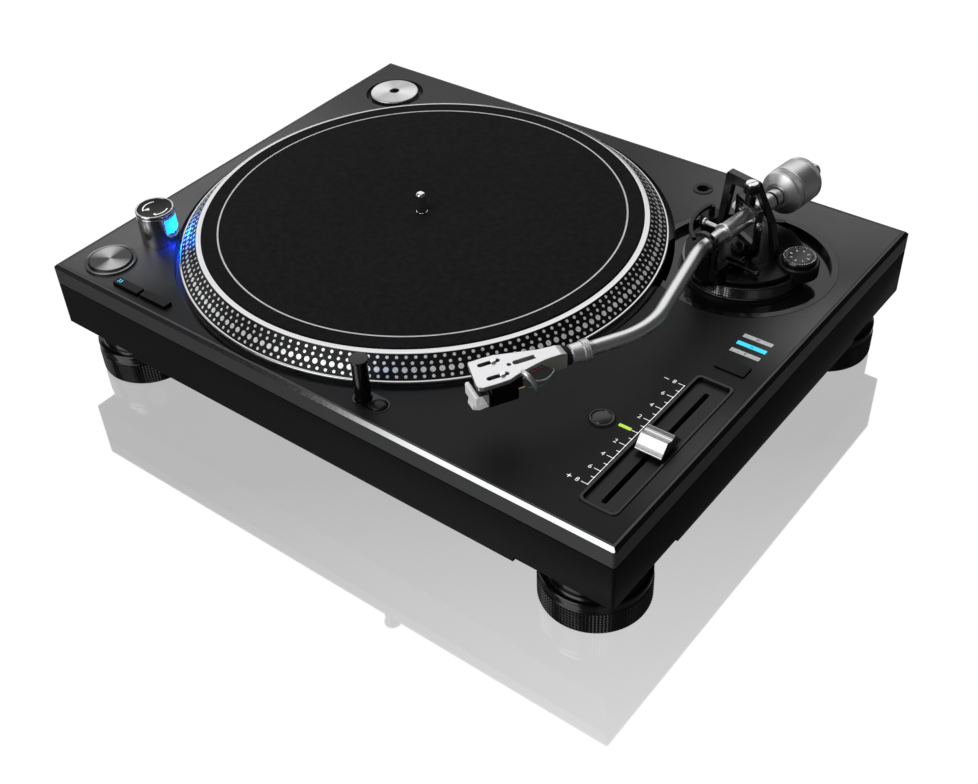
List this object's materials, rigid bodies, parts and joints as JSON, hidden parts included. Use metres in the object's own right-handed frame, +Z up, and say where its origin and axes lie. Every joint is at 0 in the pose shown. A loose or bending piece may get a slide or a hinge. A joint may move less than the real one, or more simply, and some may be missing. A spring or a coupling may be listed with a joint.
{
  "type": "direct drive turntable",
  "caption": "Record player with a direct drive platter, S-shaped tonearm, strobe tower, tempo slider and pop-up lamp in a heavy two-part body on adjustable feet.",
  "frame": {"origin": "Under the middle of the body, on the surface that the feet stand on.", "axes": "+X to the right along the front, +Y to the back, +Z up."},
  "size_m": [0.453, 0.353, 0.1462],
  "materials": {
    "cabinet_plastic": "moulded satin black",
    "casting_paint": "satin dark grey with polished bevel",
    "deck_metal": "brushed dark grey",
    "gloss_black": "gloss black",
    "cover_rubber": "dull black",
    "steel": "turned",
    "copper_coils": "wound",
    "board_green": "coated board",
    "tower_chrome": "polished",
    "lens": "lit lens",
    "black_metal": "satin black",
    "black_plastic": "satin black",
    "gilt": "plated",
    "foot_rubber": "dull black",
    "foot_plastic": "knurled black",
    "platter_metal": "turned and polished",
    "magnet": "sintered",
    "felt": "black felt",
    "arm_metal": "satin",
    "weight_steel": "satin turned",
    "silver_plastic": "satin silver",
    "white_plastic": "satin white"
  },
  "bodies": {
    "chassis": {"base_cabinet": "cabinet_plastic", "plinth_casting": "casting_paint", "deck_plate": "deck_metal", "tonearm_panel": "gloss_black", "bottom_cover": "cover_rubber", "cover_screws": "steel", "bearing_housing": "steel", "stator_coils": "copper_coils", "main_board": "board_green", "strobe_tower": "tower_chrome", "strobe_window": "lens", "tempo_tray": "gloss_black", "fader_body": "steel", "indicator_lamps": "gloss_black", "lamp_bezel": "tower_chrome", "headshell_holder": "tower_chrome", "phono_jacks": "gilt", "ground_post": "tower_chrome", "power_inlet": "black_plastic", "arm_base": "black_metal"},
    "turntable": {"platter": "platter_metal", "rotor_magnet": "magnet", "spindle": "steel"},
    "mat": {"slipmat": "felt"},
    "arm_carrier": {"arm_platform": "black_metal", "gimbal_bridge": "black_metal"},
    "ring_of_height": {"height_ring": "black_metal"},
    "lever_of_height": {"height_lock": "black_metal"},
    "clip": {"rest_clip": "black_metal"},
    "lift": {"lift_bed": "black_metal"},
    "lift_lever": {"cue_lever": "silver_plastic"},
    "skate_dial": {"antiskate_dial": "black_plastic"},
    "gimbal": {"gimbal_frame": "black_metal"},
    "tonearm": {"arm_hub": "arm_metal", "arm_tube": "arm_metal"},
    "insert": {"weight_insert": "steel"},
    "weight": {"counterweight": "weight_steel"},
    "dial_of_weight": {"weight_dial": "arm_metal"},
    "collar": {"locking_collar": "arm_metal"},
    "shell": {"headshell": "arm_metal", "cartridge": "black_plastic", "stylus": "white_plastic"},
    "start": {"start_button": "arm_metal"},
    "key_33": {"button_33": "arm_metal"},
    "key_45": {"button_45": "arm_metal"},
    "reset": {"reset_button": "black_plastic"},
    "range": {"range_button": "black_plastic"},
    "lamp_release": {"lamp_button": "tower_chrome"},
    "power": {"power_knob": "black_plastic"},
    "tempo": {"tempo_knob": "silver_plastic"},
    "lamp": {"popup_lamp": "tower_chrome"},
    "adaptor": {"adaptor_45": "platter_metal"},
    "foot_fl": {"foot_core_fl": "foot_rubber"},
    "foot_turn_fl": {"foot_ring_fl": "foot_plastic"},
    "foot_fr": {"foot_core_fr": "foot_rubber"},
    "foot_turn_fr": {"foot_ring_fr": "foot_plastic"},
    "foot_bl": {"foot_core_bl": "foot_rubber"},
    "foot_turn_bl": {"foot_ring_bl": "foot_plastic"},
    "foot_br": {"foot_core_br": "foot_rubber"},
    "foot_turn_br": {"foot_ring_br": "foot_plastic"}
  },
  "joints": [
    {"name": "foot_fl_height", "type": "slide", "parent": "chassis", "child": "foot_fl", "axis": [0, 0, -1], "range_m": [-0.0015, 0.003]},
    {"name": "foot_fl_turn", "type": "hinge", "parent": "foot_fl", "child": "foot_turn_fl", "pos_m": [-0.192, -0.141, 0.012], "axis": [0, 0, 1], "range_deg": [-361, 721]},
    {"name": "foot_fr_height", "type": "slide", "parent": "chassis", "child": "foot_fr", "axis": [0, 0, -1], "range_m": [-0.0015, 0.003]},
    {"name": "foot_fr_turn", "type": "hinge", "parent": "foot_fr", "child": "foot_turn_fr", "pos_m": [0.192, -0.141, 0.012], "axis": [0, 0, 1], "range_deg": [-361, 721]},
    {"name": "foot_bl_height", "type": "slide", "parent": "chassis", "child": "foot_bl", "axis": [0, 0, -1], "range_m": [-0.0015, 0.003]},
    {"name": "foot_bl_turn", "type": "hinge", "parent": "foot_bl", "child": "foot_turn_bl", "pos_m": [-0.192, 0.141, 0.012], "axis": [0, 0, 1], "range_deg": [-361, 721]},
    {"name": "foot_br_height", "type": "slide", "parent": "chassis", "child": "foot_br", "axis": [0, 0, -1], "range_m": [-0.0015, 0.003]},
    {"name": "foot_br_turn", "type": "hinge", "parent": "foot_br", "child": "foot_turn_br", "pos_m": [0.192, 0.141, 0.012], "axis": [0, 0, 1], "range_deg": [-361, 721]},
    {"name": "platter_spin", "type": "hinge", "parent": "chassis", "child": "turntable", "pos_m": [-0.043, -0.003, 0.09], "axis": [0, 0, 1], "continuous": true},
    {"name": "slipmat_spin", "type": "hinge", "parent": "turntable", "child": "mat", "pos_m": [-0.043, -0.003, 0.101], "axis": [0, 0, 1], "continuous": true},
    {"name": "arm_height", "type": "slide", "parent": "chassis", "child": "arm_carrier", "axis": [0, 0, 1], "range_m": [0, 0.006]},
    {"name": "height_ring_turn", "type": "hinge", "parent": "chassis", "child": "ring_of_height", "pos_m": [0.1537, 0.085, 0.088], "axis": [0, 0, 1], "range_deg": [-1, 301]},
    {"name": "height_lock_turn", "type": "hinge", "parent": "chassis", "child": "lever_of_height", "pos_m": [0.1453, 0.1328, 0.086], "axis": [0, 0, 1], "range_deg": [-40, 0]},
    {"name": "rest_clip_turn", "type": "hinge", "parent": "arm_carrier", "child": "clip", "pos_m": [0.15643, 0.04036, 0.105], "axis": [0.1184, 0.993, 0], "range_deg": [0, 30]},
    {"name": "lift_rise", "type": "slide", "parent": "arm_carrier", "child": "lift", "axis": [0, 0, 1], "range_m": [0, 0.004]},
    {"name": "cue_lever_turn", "type": "hinge", "parent": "arm_carrier", "child": "lift_lever", "pos_m": [0.1591, 0.0627, 0.0995], "axis": [-0.1184, -0.993, 0], "range_deg": [-1, 58.5]},
    {"name": "antiskate_turn", "type": "hinge", "parent": "arm_carrier", "child": "skate_dial", "pos_m": [0.1895, 0.0895, 0.1], "axis": [0, 0, 1], "range_deg": [0, 315]},
    {"name": "arm_swing", "type": "hinge", "parent": "arm_carrier", "child": "gimbal", "pos_m": [0.1537, 0.085, 0.1215], "axis": [0, 0, 1], "range_deg": [-45, 0]},
    {"name": "arm_lift", "type": "hinge", "parent": "gimbal", "child": "tonearm", "pos_m": [0.1537, 0.085, 0.1215], "axis": [-0.8763, 0.4818, 0], "range_deg": [0, 3.5]},
    {"name": "weight_slide", "type": "slide", "parent": "tonearm", "child": "insert", "axis": [0.1184, 0.993, 0], "range_m": [-0.003, 0.006]},
    {"name": "weight_turn", "type": "hinge", "parent": "insert", "child": "weight", "pos_m": [0.16021, 0.13961, 0.1215], "axis": [0.1184, 0.993, 0], "range_deg": [-541, 1081]},
    {"name": "dial_turn", "type": "hinge", "parent": "weight", "child": "dial_of_weight", "pos_m": [0.1582, 0.12273, 0.1215], "axis": [0.1184, 0.993, 0], "continuous": true},
    {"name": "collar_turn", "type": "hinge", "parent": "tonearm", "child": "collar", "pos_m": [0.13933, -0.09718, 0.1215], "axis": [-0.4818, -0.8763, 0], "range_deg": [0, 60]},
    {"name": "headshell_slide", "type": "slide", "parent": "tonearm", "child": "shell", "axis": [-0.4818, -0.8763, 0], "range_m": [0, 0.016]},
    {"name": "start_press", "type": "slide", "parent": "chassis", "child": "start", "axis": [0, 0, -1], "range_m": [0, 0.0012], "stiffness_N_per_m": 800, "springref_m": -0.0006},
    {"name": "key_33_press", "type": "slide", "parent": "chassis", "child": "key_33", "axis": [0, 0, -1], "range_m": [0, 0.001], "stiffness_N_per_m": 600, "springref_m": -0.0005},
    {"name": "key_45_press", "type": "slide", "parent": "chassis", "child": "key_45", "axis": [0, 0, -1], "range_m": [0, 0.001], "stiffness_N_per_m": 600, "springref_m": -0.0005},
    {"name": "reset_press", "type": "slide", "parent": "chassis", "child": "reset", "axis": [0, 0, -1], "range_m": [0, 0.001], "stiffness_N_per_m": 600, "springref_m": -0.0005},
    {"name": "range_press", "type": "slide", "parent": "chassis", "child": "range", "axis": [0, 0, -1], "range_m": [0, 0.001], "stiffness_N_per_m": 600, "springref_m": -0.0005},
    {"name": "lamp_release_press", "type": "slide", "parent": "chassis", "child": "lamp_release", "axis": [0, 0, -1], "range_m": [0, 0.0015], "stiffness_N_per_m": 600, "springref_m": -0.0005},
    {"name": "power_turn", "type": "hinge", "parent": "chassis", "child": "power", "pos_m": [-0.188, -0.112, 0.107], "axis": [0, 0, 1], "range_deg": [0, 60]},
    {"name": "tempo_slide", "type": "slide", "parent": "chassis", "child": "tempo", "axis": [0, 1, 0], "range_m": [-0.0465, 0.0465]},
    {"name": "lamp_slide", "type": "slide", "parent": "chassis", "child": "lamp", "axis": [0, 0, 1], "range_m": [-0.027, 0], "stiffness_N_per_m": 30, "springref_m": 0.01},
    {"name": "adaptor_lift", "type": "slide", "parent": "chassis", "child": "adaptor", "axis": [0, 0, 1], "range_m": [0, 0.03]}
  ],
  "couplings": [
    {"joint": "foot_fl_turn", "follows": "foot_fl_height", "rad_per_m": 4188.8},
    {"joint": "foot_fr_turn", "follows": "foot_fr_height", "rad_per_m": 4188.8},
    {"joint": "foot_bl_turn", "follows": "foot_bl_height", "rad_per_m": 4188.8},
    {"joint": "foot_br_turn", "follows": "foot_br_height", "rad_per_m": 4188.8},
    {"joint": "height_ring_turn", "follows": "arm_height", "rad_per_m": 872.66},
    {"joint": "cue_lever_turn", "follows": "lift_rise", "rad_per_m": 250},
    {"joint": "weight_turn", "follows": "weight_slide", "rad_per_m": 3141.6}
  ]
}
